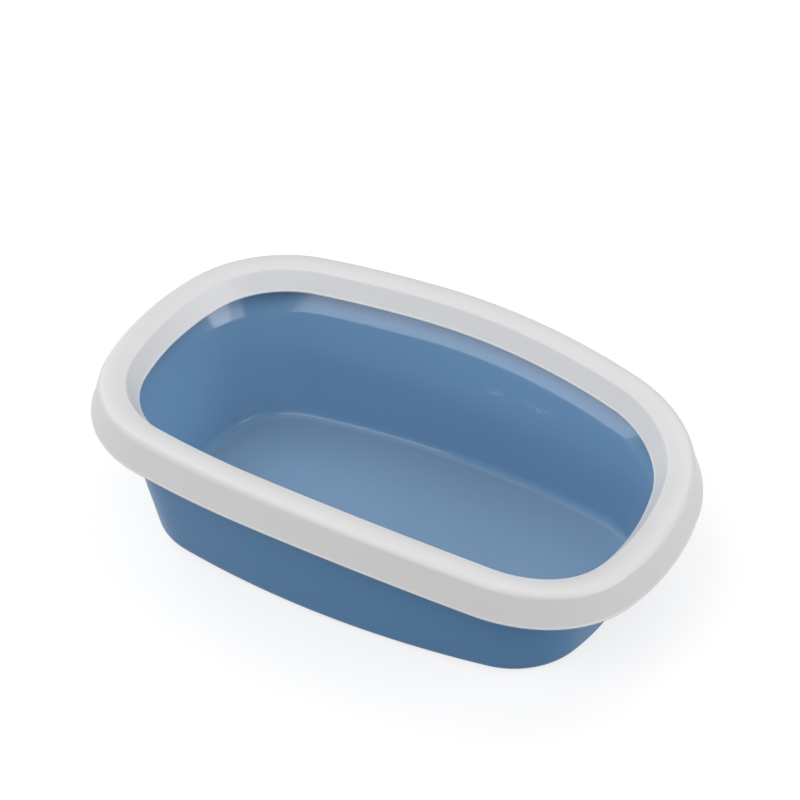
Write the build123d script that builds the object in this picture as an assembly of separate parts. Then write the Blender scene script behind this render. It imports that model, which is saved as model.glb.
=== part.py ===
from build123d import *
from math import acos, atan2, cos, degrees, radians, sin, sqrt, tan
import os

# Open cat litter box of two injection-moulded pieces: a deep tray and a rim frame that clips over its edge.
# Millimetres, +Z up.  The origin is on the ground under the middle, +X runs to the lowered entry end.
# An "inset" is a distance inward from the plan outline of the rim frame's lip.
# A "drop" is how far the edge has sunk at a place along the outline.

# ---- plan outline of the rim frame's lip: two ends, two long sides and four corners, all tangent arcs
overall_length = 580.0
overall_width = 386.0
end_radius = 330.0
side_radius = 975.0
corner_radius = 134.0

# ---- sheer: the edge is level at the back and runs down an arc to the entry end
sheer_start = -50.0
entry_drop = 47.0

# ---- tray: floor, foot ring and drafted wall
tray_height = 150.0
tray_wall = 2.2
foot_inset = 59.0
wall_draft = 12.2
foot_radius = 14.0
foot_ring_width = 22.0
foot_height = 2.0
floor_thickness = 2.4
floor_radius = 10.0

# ---- tray edge: the wall bends into a flare that ends in a flange with a turned-down lip
flare_height = 38.0
flare_lean = 28.0
flare_bend = 20.0
flange_inset = 8.0
flange_thickness = 2.2
tray_lip_depth = 9.0
edge_rib_count = 10
edge_rib_thickness = 1.6
edge_rib_depth = 8.0

# ---- rim frame section, an inverted U; heights are from the top of the tray's flange
rim_wall = 2.0
skirt_depth = 12.3
skirt_lean = 16.5
shoulder_rise = 19.2
shoulder_radius = 16.0
crown_inset = 28.0
crown_rise = 30.7
crown_radius = 12.0
guard_inset = 45.0
guard_rise = 1.6
bead_depth = 3.0
bead_proud = 0.5

# ---- how the rim frame sits on the tray and clips over its lip
seat_clearance = 0.3
gusset_count = 10
gusset_thickness = 1.6
gusset_heel_inset = 22.0
gusset_relief = 13.0
catch_count = 4
catch_length = 26.0
catch_height = 2.2
catch_toe = 0.8

# ---- how many sections shape the falling part of each half
section_count = 9


# ---------------------------------------------------------------- outline and sheer

def arc_centres():
    """Centres of the end, side and corner arcs; the corner arc is tangent to both of the others."""
    end = Vector(overall_length / 2 - end_radius, 0)
    side = Vector(0, overall_width / 2 - side_radius)
    from_end = end_radius - corner_radius
    from_side = side_radius - corner_radius
    span = (side - end).length
    along = (from_end**2 - from_side**2 + span**2) / (2 * span)
    across = sqrt(from_end**2 - along**2)
    unit = (side - end).normalized()
    return end, side, end + unit * along + Vector(-unit.Y, unit.X) * across


def arcs_between(first, last):
    """Outline arcs on the +Y side, counted from the entry end; the sheer's start splits the side in two."""
    end, side, corner = arc_centres()
    to_corner = degrees(atan2(corner.Y - end.Y, corner.X - end.X))
    to_side = degrees(atan2(corner.Y - side.Y, corner.X - side.X))
    split = degrees(acos(sheer_start / side_radius))
    arcs = [
        (end.X, 0, end_radius, 0, to_corner),
        (corner.X, corner.Y, corner_radius, to_corner, to_side),
        (0, side.Y, side_radius, to_side, split),
        (0, side.Y, side_radius, split, 180 - to_side),
        (-corner.X, corner.Y, corner_radius, 180 - to_side, 180 - to_corner),
        (-end.X, 0, end_radius, 180 - to_corner, 180),
    ]
    return arcs[first:last]


def outline(arcs, inset=0):
    return Wire([CenterArc((x, y), r - inset, start, stop - start).edge() for x, y, r, start, stop in arcs])


def whole_half():
    return arcs_between(0, 6)


def falling_part():
    return arcs_between(0, 3)


def level_part():
    return arcs_between(3, 6)


def panel(inset):
    """Flat face inside the outline."""
    middle = Line((inset - overall_length / 2, 0), (overall_length / 2 - inset, 0))
    half = make_face(outline(whole_half(), inset) + middle)
    return half + mirror(half, about=Plane.XZ)


def sheer_radius():
    run = overall_length / 2 - sheer_start
    return (run**2 + entry_drop**2) / (2 * entry_drop)


def drop_at(x):
    """How far the edge has sunk at x."""
    run = max(0, x - sheer_start)
    return sheer_radius() - sqrt(sheer_radius() ** 2 - run**2)


def slope_at(x):
    run = max(0, x - sheer_start)
    return run / sqrt(sheer_radius() ** 2 - run**2)


def station(path, share):
    """Upright plane across the outline at a share of a path: x outward, y up; and the drop there."""
    along = path % share
    place = path @ share
    return Plane(place, x_dir=Vector(along.Y, -along.X), z_dir=-along), drop_at(place.X)


def carried_round(section):
    """Carry a section, given as a function of the drop, round both halves of the outline."""
    level_path = outline(level_part())
    plane, _ = station(level_path, 0)
    level = sweep(plane * section(0), path=level_path)
    falling_path = outline(falling_part())
    sections = []
    for i in range(section_count):
        plane, drop = station(falling_path, i / (section_count - 1))
        sections.append(plane * section(drop))
    half = level + sweep(sections=sections, path=falling_path, multisection=True)
    return half + mirror(half, about=Plane.XZ)


def set_round(count, profile, thickness):
    """Stand a profile, given as a function of the drop, at even places round the outline, along the sheer."""
    pieces = []
    path = outline(whole_half())
    for i in range(count):
        plane, drop = station(path, (i + 0.5) / count)
        along = plane.z_dir - Vector(0, 0, plane.z_dir.X * slope_at(plane.origin.X))
        face = plane * profile(drop)
        pieces.append(extrude(face.moved(Location(along * (-thickness / 2))), thickness, dir=along))
    return pieces + [mirror(piece, about=Plane.XZ) for piece in pieces]


# ---------------------------------------------------------------- tray

def wall_side(depth, level, drop):
    """One side of the wall, depth in from its outer face: where the flare starts, and the flare up to level."""
    lean = radians(wall_draft)
    foot_to_flare = tray_height - flare_height - drop
    start = Vector(-foot_inset, 0) + Vector(tan(lean), 1) * foot_to_flare + Vector(-cos(lean), sin(lean)) * depth
    bend = JernArc(start, (sin(lean), cos(lean)), flare_bend + depth, wall_draft - flare_lean)
    top = bend @ 1 + Vector(tan(radians(flare_lean)), 1) * (level - (bend @ 1).Y)
    return start, bend + Line(bend @ 1, top)


def down_wall(start, level):
    """Follow the draft from the flare's start down to a level."""
    return start - Vector(tan(radians(wall_draft)), 1) * (start.Y - level)


def tray_section(drop):
    """Edge of the floor, foot, wall, flare, flange and turned-down lip in one moulding."""
    top = tray_height - drop
    under = top - flange_thickness
    lip_end = top - tray_lip_depth
    floor_top = foot_height + floor_thickness
    ring_end = -foot_inset - foot_ring_width
    outer, outer_flare = wall_side(0, under, drop)
    inner, inner_flare = wall_side(tray_wall, top, drop)
    outside = FilletPolyline((ring_end, 0), down_wall(outer, 0), outer, radius=foot_radius)
    inside = FilletPolyline((ring_end, floor_top), down_wall(inner, floor_top), inner, radius=floor_radius)
    edge = Polyline(
        outer_flare @ 1,
        (-flange_inset - tray_wall, under),
        (-flange_inset - tray_wall, lip_end),
        (-flange_inset, lip_end),
        (-flange_inset, top),
        inner_flare @ 1,
    )
    return make_face(outside + outer_flare + edge + inner_flare + inside + Line((ring_end, 0), (ring_end, floor_top)))


def edge_rib(drop):
    """Web between the flare and the lip, buried in both, under the flange."""
    top = tray_height - drop - flange_thickness / 2
    start, flare = wall_side(tray_wall / 2, top, drop)
    lip_middle = -flange_inset - tray_wall / 2
    beyond_wall = make_face(flare + Polyline(flare @ 1, (lip_middle, top), (lip_middle, start.Y), start))
    deep_end = tray_height - drop - edge_rib_depth
    return beyond_wall & Pos(lip_middle, deep_end) * Rectangle(
        foot_inset, tray_height, align=(Align.MAX, Align.MIN))


def make_tray():
    floor_inset = foot_inset + foot_ring_width - floor_thickness
    floor = extrude(Pos(0, 0, foot_height) * panel(floor_inset), floor_thickness)
    tray = carried_round(tray_section) + floor
    return tray + set_round(edge_rib_count, edge_rib, edge_rib_thickness)


# ---------------------------------------------------------------- rim frame

def rim_line(drop):
    """Outer face of the section, from the skirt's bead over the shoulder and crown to the guard's bead."""
    seat = tray_height - drop
    lean = radians(skirt_lean)
    up_skirt = Vector(-sin(lean), cos(lean))
    start = Vector(
        -bead_proud * cos(lean) - (bead_depth - bead_proud) * sin(lean),
        seat - skirt_depth + bead_depth * cos(lean) + rim_wall * sin(lean),
    )
    shoulder = start + up_skirt * ((seat + shoulder_rise - start.Y) / cos(lean))
    crown = (-crown_inset, seat + crown_rise)
    guard = (-guard_inset, seat + guard_rise)
    return FilletPolyline(start, shoulder, crown, guard, radius=(shoulder_radius, crown_radius))


def bead(start, stop, direction):
    """Chamfered thickening that closes an end of the skin."""
    side = (stop - start).normalized() * bead_proud
    near = direction * bead_proud
    far = direction * (bead_depth - bead_proud)
    tip = direction * bead_depth
    return Polyline(
        start, start - side + near, start - side + far, start + tip,
        stop + tip, stop + side + far, stop + side + near, stop)


def rim_section(drop):
    outer = rim_line(drop)
    inner = offset(outer, amount=rim_wall, side=Side.LEFT, closed=False)
    inner_start, inner_stop = sorted([inner @ 0, inner @ 1], key=lambda end: -end.X)
    guard_bead = bead(outer @ 1, inner_stop, outer % 1)
    skirt_bead = bead(inner_start, outer @ 0, -(outer % 0))
    return make_face(outer + guard_bead + inner + skirt_bead)


def gusset(drop):
    """Plate across the hollow of the section that stands on the flange; the guard's lower edge stays free."""
    middle = offset(rim_line(drop), amount=rim_wall / 2, side=Side.LEFT, closed=False)
    hollow = make_face(middle + Line(middle @ 0, middle @ 1))
    seat = tray_height - drop + seat_clearance
    above = make_face(Polyline(
        (0, seat),
        (-gusset_heel_inset, seat),
        (-guard_inset, seat + gusset_relief),
        (-guard_inset, seat + crown_rise),
        (0, seat + crown_rise),
        (0, seat),
    ))
    return hollow & above


def catch(drop):
    """Wedge on the inside of the skirt's bead that sits just below the tray's lip."""
    top = tray_height - drop - tray_lip_depth - seat_clearance
    tip = seat_clearance - flange_inset
    root = -rim_wall
    return make_face(Polyline(
        (root, top),
        (tip, top),
        (tip, top - catch_toe),
        (root, top - catch_height),
        (root, top),
    ))


def make_rim_frame():
    rim = carried_round(rim_section)
    rim += set_round(gusset_count, gusset, gusset_thickness)
    return rim + set_round(catch_count, catch, catch_length)


os.makedirs("parts", exist_ok=True)
export_step(make_tray(), "parts/tray.step")
export_step(make_rim_frame(), "parts/rim_frame.step")
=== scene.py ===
import math

import bpy
import numpy as np
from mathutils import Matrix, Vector


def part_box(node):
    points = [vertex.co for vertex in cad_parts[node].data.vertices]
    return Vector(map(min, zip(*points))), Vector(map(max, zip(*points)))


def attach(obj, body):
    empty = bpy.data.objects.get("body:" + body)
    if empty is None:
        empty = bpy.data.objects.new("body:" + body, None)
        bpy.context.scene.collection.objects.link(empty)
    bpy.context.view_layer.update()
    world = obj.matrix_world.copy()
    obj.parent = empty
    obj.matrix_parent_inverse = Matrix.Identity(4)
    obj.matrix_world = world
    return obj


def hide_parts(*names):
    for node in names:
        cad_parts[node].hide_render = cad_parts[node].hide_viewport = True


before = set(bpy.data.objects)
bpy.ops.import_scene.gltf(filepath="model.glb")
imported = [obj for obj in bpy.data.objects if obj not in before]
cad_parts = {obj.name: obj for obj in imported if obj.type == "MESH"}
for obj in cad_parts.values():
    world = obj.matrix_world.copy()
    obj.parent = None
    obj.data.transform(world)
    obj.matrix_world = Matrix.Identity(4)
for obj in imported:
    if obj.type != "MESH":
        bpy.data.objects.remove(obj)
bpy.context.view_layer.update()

MM = 0.001

# All sizes are in mm. The outline's end, side and corner arcs are all tangent.
END_RADIUS, SIDE_RADIUS, CORNER_RADIUS = 330.0, 975.0, 134.0
HALF_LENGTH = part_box("rim_frame")[1].x / MM
HALF_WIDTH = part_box("rim_frame")[1].y / MM

# The edge's height line: level from the back to the sheer's start, then an arc down to the entry end.
SHEER_START, ENTRY_DROP = -50.0, 47.0

# Tray
TRAY_HEIGHT, TRAY_WALL = 150.0, 2.2
FOOT_INSET, WALL_DRAFT = 59.0, math.radians(12.2)
FOOT_RADIUS, FOOT_RING, FOOT_HEIGHT = 14.0, 22.0, 2.0
FLOOR_THICKNESS, FLOOR_RADIUS = 2.4, 10.0
FLARE_HEIGHT, FLARE_LEAN, FLARE_BEND = 38.0, math.radians(28.0), 20.0
FLANGE_INSET, FLANGE_THICKNESS, TRAY_LIP = 8.0, 2.2, 9.0
FALL_START = 16.0  # below this height the wall doesn't follow the sheer
WEB_DEPTH = 8.0

# Rim frame, heights from the top of the tray's flange
RIM_WALL = 2.0
SKIRT_DEPTH, SKIRT_LEAN = 12.3, math.radians(16.5)
SHOULDER_RISE, SHOULDER_RADIUS = 19.8, 7.0
CROWN_INSET, CROWN_RISE, CROWN_RADIUS = 21.5, 21.5, 36.0
BROW_INSET, BROW_RISE, BROW_RADIUS = 34.6, 18.2, 3.5
GUARD_INSET, GUARD_RISE = 45.0, 1.6
BEAD = 1.5  # radius of the thickening on the skin's open edges
SEAT = 0.3  # clearance between the rim frame and the tray
GUSSET_START, GUSSET_END = -38.8, -5.2  # offsets of a gusset's inner and outer end
GUSSET_FOOT, GUSSET_LIFT = -22.0, 13.0  # inside the foot's offset its lower edge rises, by lift at the guard
CATCHES, CATCH_WIDTH = 4, 26.0
CATCH_THICKNESS = 0.8, 2.2  # at its inner and outer end

# Plates on each half of the outline, their thickness, and places round a moulding's mesh
RIBS, RIB_THICKNESS = 10, 1.6
ROUND = 640


# ---------------------------------------------------------------- plan and sheer

def arc_middles():
    """Centres of the end, side and corner arcs: the corner's is corner-radius inside both of the others."""
    end = np.array([HALF_LENGTH - END_RADIUS, 0.0])
    side = np.array([0.0, HALF_WIDTH - SIDE_RADIUS])
    span = np.linalg.norm(side - end)
    a, b = END_RADIUS - CORNER_RADIUS, SIDE_RADIUS - CORNER_RADIUS
    along = (a * a - b * b + span * span) / (2 * span)
    unit = (side - end) / span
    corner = end + unit * along + np.array([-unit[1], unit[0]]) * math.sqrt(a * a - along * along)
    return end, side, corner


class Plan:
    """Places round the outline, each given by its facing angle: the point at an offset is the arc's centre plus
    (arc radius + offset) times the unit vector that faces that way. With the run past the sheer's start, the
    drop is the sheer's radius less the root of (radius squared - run squared), and the slope is the run over
    that root."""

    def __init__(self, facing):
        end, side, corner = arc_middles()
        to_corner = math.atan2(corner[1] - end[1], corner[0] - end[0])
        to_side = math.atan2(corner[1] - side[1], corner[0] - side[0])
        folded = np.arctan2(np.abs(np.sin(facing)), np.abs(np.cos(facing)))
        sign = np.stack([np.sign(np.cos(facing)), np.sign(np.sin(facing))], -1)
        at_end, at_side = folded < to_corner, folded > to_side
        middle = np.where(at_end[:, None], end, np.where(at_side[:, None], side, corner)) * sign
        self.radius = np.where(at_end, END_RADIUS, np.where(at_side, SIDE_RADIUS, CORNER_RADIUS))
        self.middle = middle
        self.out = np.stack([np.cos(facing), np.sin(facing)], -1)
        x = middle[:, 0] + self.radius * self.out[:, 0]
        run = np.maximum(0.0, x - SHEER_START)
        reach = HALF_LENGTH - SHEER_START
        sheer_radius = (reach**2 + ENTRY_DROP**2) / (2 * ENTRY_DROP)
        self.drop = sheer_radius - np.sqrt(sheer_radius**2 - run**2)
        self.slope = run / np.sqrt(sheer_radius**2 - run**2)

    def points(self, u, z):
        """(place, profile) grids of u and z to points in metres."""
        flat = self.middle[:, None] + (self.radius[:, None] + u)[..., None] * self.out[:, None]
        return np.concatenate([flat, np.broadcast_to(z, u.shape)[..., None]], -1) * MM

    def along(self):
        """Unit vectors along the edge, tilted with the sheer."""
        flat = np.stack([-self.out[:, 1], self.out[:, 0], self.out[:, 1] * self.slope], -1)
        return flat / np.linalg.norm(flat, axis=1, keepdims=True)


def facings(count):
    """Facing angles of places that are evenly spaced along the outline, by its running length."""
    fine = np.linspace(0, 2 * math.pi, 20001)[:-1] + 1e-7
    step = Plan(fine).radius
    length = np.concatenate([[0], np.cumsum(step)])
    wanted = (np.arange(count) + 0.5) / count * length[-1]
    return np.interp(wanted, length, np.append(fine, 2 * math.pi))


# ---------------------------------------------------------------- profiles

def rounded(corners, radii, steps=9):
    """Straight runs with an arc at each inner corner, its middle radius / sin(half angle) along the bisector."""
    p = np.array(corners, float)
    r = np.array(radii, float)[:, None]
    back = p[:-2] - p[1:-1]
    ahead = p[2:] - p[1:-1]
    back /= np.linalg.norm(back, axis=1, keepdims=True)
    ahead /= np.linalg.norm(ahead, axis=1, keepdims=True)
    half = np.arccos(np.clip((back * ahead).sum(1, keepdims=True), -1, 1)) / 2
    bisector = back + ahead
    middle = p[1:-1] + bisector / np.linalg.norm(bisector, axis=1, keepdims=True) * r / np.sin(half)
    first = p[1:-1] + back * r / np.tan(half) - middle
    last = p[1:-1] + ahead * r / np.tan(half) - middle
    turn = (math.pi - 2 * half)[:, None]
    k = np.linspace(0, 1, steps)[None, :, None]
    blend = np.sin((1 - k) * turn) * first[:, None] + np.sin(k * turn) * last[:, None]
    arcs = middle[:, None] + blend / np.sin(turn)
    return np.concatenate([p[:1], arcs.reshape(-1, 2), p[-1:]])


def filled_in(profile, longest=3.0):
    """The same profile with extra points on its straight runs, closer together near their ends."""
    gap = np.linalg.norm(np.diff(profile, axis=0), axis=1)
    pieces = np.where(gap > longest, np.clip(np.ceil(gap / longest), 4, 14), 1).astype(int)
    runs = [
        a + (b - a) * (0.5 - 0.5 * np.cos(math.pi * np.arange(n) / n))[:, None]
        for a, b, n in zip(profile[:-1], profile[1:], pieces)
    ]
    return np.concatenate(runs + [profile[-1:]])


def beside(profile, distance):
    """A profile moved sideways to its left by distance, by the mean normal at each point."""
    run = np.diff(profile, axis=0)
    run /= np.linalg.norm(run, axis=1, keepdims=True)
    both = np.concatenate([run[:1], run]) + np.concatenate([run, run[-1:]])
    both /= np.linalg.norm(both, axis=1, keepdims=True)
    return profile + np.stack([-both[:, 1], both[:, 0]], -1) * distance


def end_bead(start, stop, along, steps=12):
    """Round thickening over the open end of a wall that runs along a direction, from start over its tip to stop."""
    along = along / np.linalg.norm(along)
    across = (start - stop) / 2
    half = np.linalg.norm(across)
    middle = (start + stop) / 2 + along * BEAD
    low = math.asin(half / BEAD)
    turn = np.linspace(low, 2 * math.pi - low, steps)[:, None]
    return middle - along * BEAD * np.cos(turn) + across / half * BEAD * np.sin(turn)


def rim_face():
    """Outer face of the rim frame's section as (offset, height over the flange): skirt, shoulder, crown, the brow
    that ends the flat top, guard."""
    up = np.array([-math.sin(SKIRT_LEAN), math.cos(SKIRT_LEAN)])
    out = np.array([math.cos(SKIRT_LEAN), math.sin(SKIRT_LEAN)])
    start = np.array([-BEAD, BEAD - SKIRT_DEPTH]) + up * BEAD + out * RIM_WALL / 2
    shoulder = start + up * (SHOULDER_RISE - start[1]) / up[1]
    crown, brow, guard = (-CROWN_INSET, CROWN_RISE), (-BROW_INSET, BROW_RISE), (-GUARD_INSET, GUARD_RISE)
    corners = [start, shoulder, crown, brow, guard]
    return rounded(corners, [SHOULDER_RADIUS, CROWN_RADIUS, BROW_RADIUS], 22)


def rim_section():
    """Closed section of the rim frame: the outer face, the guard's bead, the inner face and the skirt's bead."""
    outer = filled_in(rim_face())
    inner = beside(outer, RIM_WALL)[::-1]
    guard_bead = end_bead(outer[-1], inner[0], outer[-1] - outer[-2])
    skirt_bead = end_bead(inner[-1], outer[0], outer[0] - outer[1])
    return np.concatenate([outer, guard_bead, inner, skirt_bead])


def flare(depth, level, steps=8):
    """The flare, depth in from the outer face: an arc from the draft to the flare's lean, then straight on to
    level."""
    lean = WALL_DRAFT
    low = TRAY_HEIGHT - FLARE_HEIGHT
    start = np.array([-FOOT_INSET + math.tan(lean) * low, low])
    start += np.array([-math.cos(lean), math.sin(lean)]) * depth
    f = np.linspace(lean, FLARE_LEAN, steps)
    bend = start + (FLARE_BEND + depth) * np.stack([math.cos(lean) - np.cos(f), np.sin(f) - math.sin(lean)], -1)
    rise = (level - bend[-1, 1]) * np.linspace(0, 1, 6)[1:, None]
    straight = bend[-1] + np.array([math.tan(FLARE_LEAN), 1.0]) * rise
    return np.concatenate([bend, straight])


def down_wall(start, level):
    """The point where the drafted wall through start meets level."""
    return start - np.array([math.tan(WALL_DRAFT), 1.0]) * (start[1] - level)


def tray_section():
    """Tray section where the edge is level: underside, foot, wall, flare, flange, lip, and back down inside."""
    floor_top = FOOT_HEIGHT + FLOOR_THICKNESS
    ring_end = -FOOT_INSET - FOOT_RING
    outer = flare(0.0, TRAY_HEIGHT - FLANGE_THICKNESS)
    inner = flare(TRAY_WALL, TRAY_HEIGHT)
    lip_end = TRAY_HEIGHT - TRAY_LIP
    outside = rounded(
        [(ring_end - 4, FOOT_HEIGHT), (ring_end, FOOT_HEIGHT), (ring_end, 0), down_wall(outer[0], 0), outer[0]],
        [0.5, 0.5, FOOT_RADIUS])
    edge = rounded(
        [outer[-2], outer[-1], (-FLANGE_INSET - TRAY_WALL, TRAY_HEIGHT - FLANGE_THICKNESS),
         (-FLANGE_INSET - TRAY_WALL, lip_end), (-FLANGE_INSET, lip_end), (-FLANGE_INSET, TRAY_HEIGHT),
         inner[-1], inner[-2]],
        [0.6, 0.8, 0.7, 0.7, 1.4, 1.2], 6)
    inside = rounded(
        [inner[0], down_wall(inner[0], floor_top), (ring_end, floor_top)], [FLOOR_RADIUS], 12)
    return filled_in(np.concatenate([outside[:-1], outer[:-2], edge[1:-1], inner[-3::-1], inside[1:]]), 5.0)


def inner_share():
    """1 on the tray section's inner face, from the flange's top inward, and 0 on its outer face."""
    u, z = tray_section().T
    inside = np.arange(len(u)) >= np.argmax(z > TRAY_HEIGHT - 0.01)
    return inside.astype(np.float32)


def tray_grid(plan):
    """The section at each place: low points stay level and upper ones fall with the sheer; the wall's points
    slide in along the draft as they fall, and the flange's outer edge keeps its offset."""
    u, z = tray_section().T
    flare_start = TRAY_HEIGHT - FLARE_HEIGHT
    fall = np.clip((z - FALL_START) / (flare_start - FALL_START), 0, 1)
    flare_end = flare(0.0, TRAY_HEIGHT - FLANGE_THICKNESS)[-1, 0]
    held = np.clip((u - flare_end) / (-FLANGE_INSET - TRAY_WALL - flare_end), 0, 1)
    drop = plan.drop[:, None]
    return u - math.tan(WALL_DRAFT) * drop * fall * (1 - held), z - drop * fall


# ---------------------------------------------------------------- meshes

def put_in_mesh(name, points, quads, triangles=None):
    """Makes an object of points and faces. Their winding is turned if the signed volume, a sixth of the sum over
    the triangles of a . (b x c), is below zero."""
    triangles = np.zeros((0, 3), int) if triangles is None else triangles
    cut = np.concatenate([quads[:, [0, 1, 2]], quads[:, [0, 2, 3]], triangles])
    a, b, c = points[cut[:, 0]], points[cut[:, 1]], points[cut[:, 2]]
    if (a * np.cross(b, c)).sum() < 0:
        quads, triangles = quads[:, ::-1], triangles[:, ::-1]
    corners = np.concatenate([quads.ravel(), triangles.ravel()])
    sizes = np.concatenate([np.full(len(quads), 4), np.full(len(triangles), 3)])
    mesh = bpy.data.meshes.new(name)
    mesh.vertices.add(len(points))
    mesh.vertices.foreach_set("co", points.ravel())
    mesh.loops.add(len(corners))
    mesh.loops.foreach_set("vertex_index", corners)
    mesh.polygons.add(len(sizes))
    mesh.polygons.foreach_set("loop_start", np.cumsum(sizes) - sizes)
    mesh.polygons.foreach_set("loop_total", sizes)
    mesh.update(calc_edges=True)
    mesh.validate()
    mesh.shade_smooth()
    piece = bpy.data.objects.new(name, mesh)
    bpy.context.collection.objects.link(piece)
    return piece


def grid_quads(rows, columns, close_columns):
    """Quads of a grid that is closed along its rows, and along its columns if asked."""
    i = np.arange(rows)[:, None]
    j = np.arange(columns if close_columns else columns - 1)[None, :]
    i2, j2 = (i + 1) % rows, (j + 1) % columns
    corners = [i * columns + j, i2 * columns + j, i2 * columns + j2, i * columns + j2]
    return np.stack([np.broadcast_to(c, (rows, j.size)) for c in corners], -1).reshape(-1, 4)


def closed_ring(name, grid):
    """A section carried all round: points are grid (place, profile), both ways closed."""
    rows, columns = grid.shape[:2]
    return put_in_mesh(name, grid.reshape(-1, 3), grid_quads(rows, columns, True))


def closed_bowl(name, grid, shares, inner):
    """A section carried all round whose two ends run in to the middle line, scaled down by shares, to a point.
    The attribute inside keeps inner, one value for each point of the section."""
    first, last = grid[:, :1], grid[:, -1:]
    scale = np.array([1, 1, 0])
    k = np.array(shares)[None, :, None]
    toward = k * scale + (1 - scale)
    grid = np.concatenate([(first * toward)[:, ::-1], grid, last * toward], 1)
    rows, columns = grid.shape[:2]
    points = np.concatenate([grid.reshape(-1, 3), first.mean(0) * (1 - scale), last.mean(0) * (1 - scale)])
    i = np.arange(rows)
    i2 = (i + 1) % rows
    low = np.stack([i2 * columns, i * columns, np.full(rows, rows * columns)], -1)
    high = np.stack([i * columns, i2 * columns, np.full(rows, rows * columns + 1)], -1)
    high = high + [columns - 1, columns - 1, 0]
    piece = put_in_mesh(name, points, grid_quads(rows, columns, False), np.concatenate([low, high]))
    side = np.concatenate([np.zeros(len(shares)), inner, np.ones(len(shares))])
    kept = np.concatenate([np.tile(side, rows), [0.0, 1.0]]).astype(np.float32)
    piece.data.attributes.new("inside", "FLOAT", "POINT").data.foreach_set("value", kept)
    return piece


def plates(name, plan, u, low, high, thickness):
    """Upright plates across the edge, one at each place, between the heights low and high at the offsets u."""
    drop = plan.drop[:, None]
    top = plan.points(np.broadcast_to(u, (len(drop), len(u))), high - drop)
    bottom = plan.points(np.broadcast_to(u, (len(drop), len(u))), low - drop)
    shift = plan.along()[:, None] * thickness / 2 * MM
    grid = np.stack([top + shift, top - shift, bottom - shift, bottom + shift], 2)
    places, steps = grid.shape[:2]
    base = (np.arange(places) * steps * 4)[:, None, None]
    j = np.arange(steps - 1)[None, :, None] * 4
    c = np.arange(4)[None, None, :]
    here, beyond = base + j, base + j + 4
    sides = np.stack([here + c, here + (c + 1) % 4, beyond + (c + 1) % 4, beyond + c], -1)
    plate = base[:, 0, 0, None]
    caps = np.stack([plate + [3, 2, 1, 0], plate + (steps - 1) * 4 + [0, 1, 2, 3]], 1)
    piece = put_in_mesh(name, grid.reshape(-1, 3), np.concatenate([sides.reshape(-1, 4), caps.reshape(-1, 4)]))
    piece.data.shade_flat()
    return piece


def half_places(count):
    """Facing angles of count even places along each half of the outline, by its length, on both sides."""
    fine = np.linspace(1e-6, math.pi - 1e-6, 20001)
    length = np.concatenate([[0], np.cumsum(Plan((fine[1:] + fine[:-1]) / 2).radius)])
    half = np.interp((np.arange(count) + 0.5) / count * length[-1], length, fine)
    return np.concatenate([half, -half])


# ---------------------------------------------------------------- materials

class Value:
    """A number socket of a material that can be reckoned with: each operator adds a Math node."""

    def __init__(self, paint, socket):
        self.paint, self.socket = paint, socket

    def reckon(self, operation, *others):
        """The value of one Math node with these inputs."""
        values = {i: other for i, other in enumerate(others)}
        return self.paint.node("ShaderNodeMath", {"operation": operation}, values)

    def __add__(self, other):
        return self.reckon("ADD", self, other)

    def __mul__(self, other):
        return self.reckon("MULTIPLY", self, other)

    def __rsub__(self, other):
        return self.reckon("SUBTRACT", other, self)

    __radd__, __rmul__ = __add__, __mul__


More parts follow.
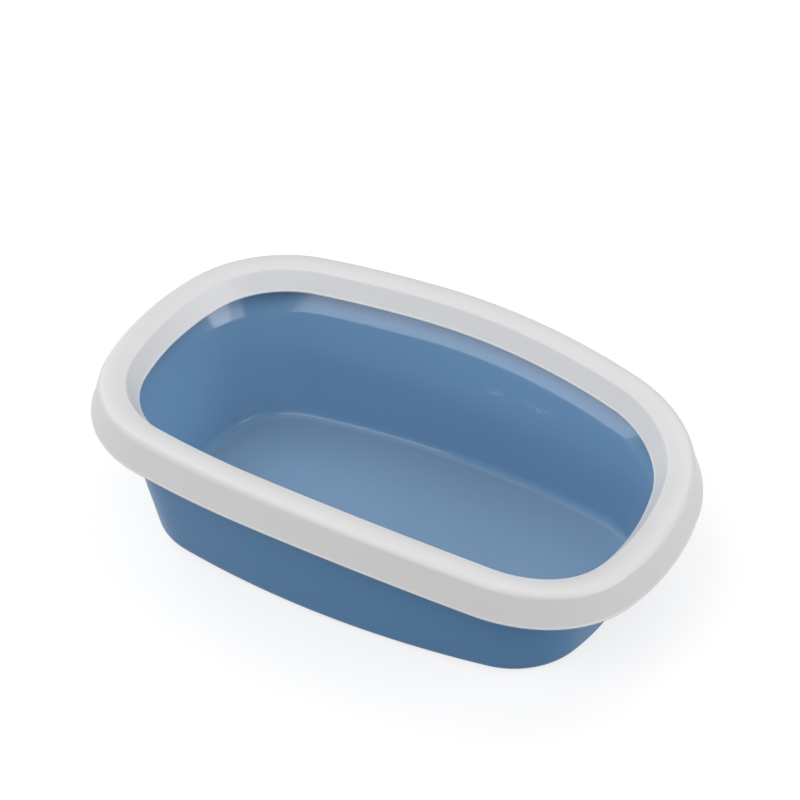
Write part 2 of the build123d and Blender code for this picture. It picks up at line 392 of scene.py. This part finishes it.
class Paint:
    """The nodes of a material, or of the world, under construction."""

    def __init__(self, owner):
        owner.use_nodes = True
        self.owner, self.tree = owner, owner.node_tree
        self.tree.nodes.clear()

    def node(self, kind, settings=None, sockets=None, output=0):
        """Adds a node: its settings first, then values or links for its sockets; returns one output."""
        made = self.tree.nodes.new(kind)
        for key, value in (settings or {}).items():
            setattr(made, key, value)
        for key, value in (sockets or {}).items():
            if isinstance(value, Value):
                self.tree.links.new(value.socket, made.inputs[key])
            else:
                made.inputs[key].default_value = value
        return Value(self, made.outputs[output])

    def place(self):
        """The point on the piece, in metres."""
        return self.node("ShaderNodeTexCoord", output="Object")

    def height(self):
        """The point's height, in metres."""
        return self.node("ShaderNodeSeparateXYZ", {}, {"Vector": self.place()}, output="Z")

    def attribute(self, name):
        """A value that the mesh keeps at each point."""
        return self.node("ShaderNodeAttribute", {"attribute_name": name}, output="Fac")

    def noise(self, scale, detail=3.0, stretch=(1, 1, 1)):
        """Cloudy noise of 0 to 1 with scale clouds to the metre, finer along an axis with a larger stretch."""
        spot = self.node("ShaderNodeMapping", {}, {"Vector": self.place(), "Scale": stretch})
        return self.node("ShaderNodeTexNoise", {}, {"Vector": spot, "Scale": scale, "Detail": detail})

    def between(self, share, low, high):
        """Colour between low and high by share."""
        made = self.node("ShaderNodeMix", {"data_type": "RGBA"}, {"Factor": share}, output=2)
        sockets = made.socket.node.inputs
        for socket, colour in ((sockets[6], low), (sockets[7], high)):  # the inputs A and B for colours
            if isinstance(colour, Value):
                self.tree.links.new(colour.socket, socket)
            else:
                socket.default_value = (*colour, 1)
        return made

    def clamped(self, value, low, high):
        """0 below low, 1 above high, straight between."""
        ends = {"Value": value, "From Min": low, "From Max": high}
        return self.node("ShaderNodeMapRange", {"clamp": True}, ends)

    def spot(self, centre, reach):
        """1 less the length of (point - centre) / reach, at least 0: 1 at centre and 0 at reach along each axis."""
        scale = 1 / np.array(reach)
        shift = -scale * np.array(centre)
        away = self.node("ShaderNodeMapping", {}, {"Vector": self.place(), "Location": shift, "Scale": scale})
        far = self.node("ShaderNodeVectorMath", {"operation": "LENGTH"}, {"Vector": away}, output="Value")
        return self.clamped(far, 1.0, 0.0)

    def bumps(self, height):
        """A normal for height in metres."""
        return self.node("ShaderNodeBump", {}, {"Height": height, "Strength": 1.0, "Distance": 1.0})

    def surface(self, shader, output="ShaderNodeOutputMaterial"):
        """Links the shader to the output and gives back the material or world."""
        self.tree.links.new(shader.socket, self.tree.nodes.new(output).inputs["Surface"])
        return self.owner


def linear(red, green, blue):
    """An sRGB colour of 0 to 255 as linear light: c / 12.92 when dark, else ((c + 0.055) / 1.055) to the 2.4."""
    c = np.array([red, green, blue]) / 255
    return tuple(float(v) for v in np.where(c <= 0.04045, c / 12.92, ((c + 0.055) / 1.055) ** 2.4))


def tray_plastic():
    """Blue, satin outside and polished inside, the inner face painted a lighter blue than the outer face as painted
    light for the brighter lit inside: slow drift of the colour, fine orange peel, two rubbed spots on the inner
    wall, and on the floor a paler scuffed face with hair scratches where litter is scooped."""
    paint = Paint(bpy.data.materials.new("tray_plastic"))
    drift = paint.noise(7.0, 2.0)
    peel = paint.noise(420.0, 2.0)
    waves = paint.noise(26.0, 1.0)
    hair = paint.clamped(paint.noise(60.0, 6.0, (1, 9, 1)), 0.68, 0.80)
    inside = paint.attribute("inside")
    floor = inside * paint.clamped(paint.height(), 0.0062, 0.0048)
    scuffs = floor * (0.75 + drift * 0.5)
    outer = paint.between(drift, linear(97, 143, 187), linear(101, 147, 192))
    # The inner face is painted a lighter blue than the outer face: painted light that stands in for the light
    # inside the tray.
    painted_lit_inner = paint.between(drift, linear(116, 155, 190), linear(120, 159, 195))
    streaks = paint.clamped(paint.noise(110.0, 3.0, (1, 1, 5)), 0.42, 0.6)
    rubbed = paint.spot((0.0275, 0.145, 0.0867), (0.012, 0.03, 0.006)) * 0.8
    rubbed = rubbed + paint.spot((0.0745, 0.1445, 0.0868), (0.024, 0.03, 0.004)) * 0.6
    colour = paint.between(scuffs, paint.between(inside, outer, painted_lit_inner), linear(131, 162, 191))
    colour = paint.between(inside * rubbed * streaks, colour, linear(176, 198, 220))
    normal = paint.bumps(peel * 0.00002 + waves * 0.00006 + floor * hair * 0.00003)
    return paint.surface(paint.node("ShaderNodeBsdfPrincipled", {}, {
        "Base Color": colour, "Roughness": 0.3 + drift * 0.05 + floor * (0.1 + hair * 0.1), "Normal": normal,
        "IOR": 1.5, "Specular IOR Level": 0.06,
        "Coat Weight": inside * (1.0 - floor * 0.7), "Coat Roughness": 0.07, "Coat IOR": 1.33}))


def rim_plastic():
    """White with a satin sheen: faint cloudiness, fine grain and slow waves of the moulded face."""
    paint = Paint(bpy.data.materials.new("rim_plastic"))
    cloud = paint.noise(9.0, 3.0)
    grain = paint.noise(900.0, 2.0)
    flow = paint.noise(18.0, 1.0, (1, 1, 2))
    colour = paint.between(cloud, linear(211, 211, 212), linear(215, 215, 216))
    normal = paint.bumps(grain * 0.00002 + flow * 0.00015)
    return paint.surface(paint.node("ShaderNodeBsdfPrincipled", {}, {
        "Base Color": colour, "Roughness": 0.36 + cloud * 0.06, "Normal": normal, "IOR": 1.46}))


# ---------------------------------------------------------------- pieces

def dress(piece, body, material):
    """Gives a piece its material and slot, and makes it ride on a body."""
    piece.data.materials.append(material)
    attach(piece, body)


round_plan = Plan(facings(ROUND))
blue, white = tray_plastic(), rim_plastic()

u, z = tray_grid(round_plan)
toward_middle = [0.97, 0.8, 0.6, 0.4, 0.2]
tray = closed_bowl("tray_moulding", round_plan.points(u, z), toward_middle, inner_share())
dress(tray, "tray", blue)
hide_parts("tray")

section = rim_section()
u = np.broadcast_to(section[:, 0], (ROUND, len(section)))
z = TRAY_HEIGHT + section[:, 1] - round_plan.drop[:, None]
rim = closed_ring("rim_moulding", round_plan.points(u, z))
dress(rim, "rim", white)
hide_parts("rim_frame")

# Gussets stand on the flange's top and end in the middle of the rim frame's skin.
middle = beside(filled_in(rim_face()), RIM_WALL / 2)[::-1]
u = np.linspace(GUSSET_START, GUSSET_END, 22)
high = TRAY_HEIGHT + np.interp(u, middle[:, 0], middle[:, 1])
inward = np.clip((GUSSET_FOOT - u) / (GUARD_INSET + GUSSET_FOOT), 0, 1)
low = TRAY_HEIGHT + SEAT + inward * GUSSET_LIFT
gussets = plates("rim_gussets", Plan(half_places(RIBS)), u, low, high, RIB_THICKNESS)
dress(gussets, "rim", white)

# Catches lie under the tray's lip with the seat's clearance.
u = np.linspace(-BEAD, SEAT - FLANGE_INSET, 5)
high = np.full(5, TRAY_HEIGHT - TRAY_LIP - SEAT)
low = np.interp(u, [u[-1], u[0]], high[0] - np.array(CATCH_THICKNESS))
catches = plates("rim_catches", Plan(half_places(CATCHES)), u, low, high, CATCH_WIDTH)
dress(catches, "rim", white)

# Webs fill the corner between the wall's outer side, the flange's underside and the lip.
wall = flare(TRAY_WALL / 2, TRAY_HEIGHT - FLANGE_THICKNESS / 2)
low = np.full(12, TRAY_HEIGHT - WEB_DEPTH)
start = np.interp(low[0], wall[:, 1], wall[:, 0]) + 0.2
u = np.linspace(start, -FLANGE_INSET - TRAY_WALL / 2, 12)
high = np.minimum(TRAY_HEIGHT - FLANGE_THICKNESS / 2, np.interp(u, wall[:, 0], wall[:, 1]))
webs = plates("tray_edge_webs", Plan(half_places(RIBS)), u, low, high, RIB_THICKNESS)
dress(webs, "tray", blue)


# ---------------------------------------------------------------- floor, light and camera

def studio_floor():
    """Wide pale floor just under the tray; the camera, mirrors and glass see it lighter, and its shadows stay."""
    reach, level = 6.0, -0.0004
    x, y = np.meshgrid([-reach, reach], [-reach, reach], indexing="ij")
    points = np.stack([x, y, np.full_like(x, level)], -1).reshape(-1, 3)
    mesh = bpy.data.meshes.new("studio_floor")
    mesh.from_pydata(points.tolist(), [], [(0, 2, 3, 1)])
    floor = bpy.data.objects.new("studio_floor", mesh)
    bpy.context.collection.objects.link(floor)
    paint = Paint(bpy.data.materials.new("floor_paper"))
    seen = paint.node("ShaderNodeLightPath", output="Is Camera Ray")
    glossy = paint.node("ShaderNodeLightPath", output="Is Glossy Ray")
    through = paint.node("ShaderNodeLightPath", output="Is Transmission Ray")
    paper = paint.node("ShaderNodeBsdfDiffuse", {}, {"Color": (0.3, 0.3, 0.3, 1)})
    strength = (seen + glossy + through) * 0.74
    lift = paint.node("ShaderNodeEmission", {}, {"Color": (1, 1, 1, 1), "Strength": strength})
    floor.data.materials.append(paint.surface(paint.node("ShaderNodeAddShader", {}, {0: paper, 1: lift})))


def around(azimuth, elevation, distance, target=(0.0, 0.0, 0.1)):
    """Place on a sphere round target, and the turn that faces it; azimuth 0 is the -Y side, 90 the entry end."""
    a, e = math.radians(azimuth), math.radians(elevation)
    back = Vector((math.sin(a) * math.cos(e), -math.cos(a) * math.cos(e), math.sin(e)))
    return Vector(target) + back * distance, back.to_track_quat("Z", "Y").to_euler()


def hang(name, data, place):
    """Puts a lamp or camera at a place given by around."""
    held = bpy.data.objects.new(name, data)
    held.location, held.rotation_euler = place
    bpy.context.collection.objects.link(held)
    return held


def softbox(name, place, width, height, brightness, roll=0.0):
    """Area lamp whose face is as bright as a world of that strength: power = pi x area x brightness."""
    lamp = bpy.data.lights.new(name, "AREA")
    lamp.shape = "RECTANGLE"
    lamp.size, lamp.size_y, lamp.energy = width, height, math.pi * width * height * brightness
    hang(name, lamp, place).rotation_euler.rotate_axis("Z", math.radians(roll))


def room():
    """Even pale surroundings; the background that the camera sees is white, a strength of 1."""
    dim = 0.15
    paint = Paint(bpy.data.worlds.new("room"))
    seen = paint.node("ShaderNodeLightPath", output="Is Camera Ray")
    strength = seen * (1.0 - dim) + dim
    light = paint.node("ShaderNodeBackground", {}, {"Color": (1, 1, 1, 1), "Strength": strength})
    bpy.context.scene.world = paint.surface(light, "ShaderNodeOutputWorld")


def camera(place, lens):
    """The scene's camera, with a lens in mm before a sensor 36 mm wide."""
    data = bpy.data.cameras.new("camera")
    data.lens, data.sensor_width, data.clip_end = lens, 36.0, 50.0
    bpy.context.scene.camera = hang("camera", data, place)


studio_floor()
room()
softbox("overhead_box", around(-90.0, 72.0, 3.0), 2.0, 2.0, 1.25)
softbox("front_box", around(3.0, 52.0, 3.0), 2.6, 1.2, 3.9)
softbox("left_box", around(-107.0, 22.0, 3.0), 2.6, 1.0, 2.85)
softbox("left_high_box", around(-105.0, 52.0, 3.0), 1.4, 1.2, 1.75)
softbox("right_box", around(111.0, 22.0, 3.0), 2.4, 1.1, 3.9)
softbox("back_box", around(163.0, 53.0, 3.0), 2.0, 1.4, 1.9)
softbox("left_strip", around(-17.0, 16.3, 2.6), 3.8, 0.28, 5.7, 9.0)
softbox("right_strip", around(93.0, 13.8, 2.6), 1.9, 0.26, 6.0, -12.0)
bpy.context.scene.view_settings.view_transform = "Standard"
camera(around(29.5, 37.75, 2.635, (-0.0496, 0.0968, 0.085)), 120.96)
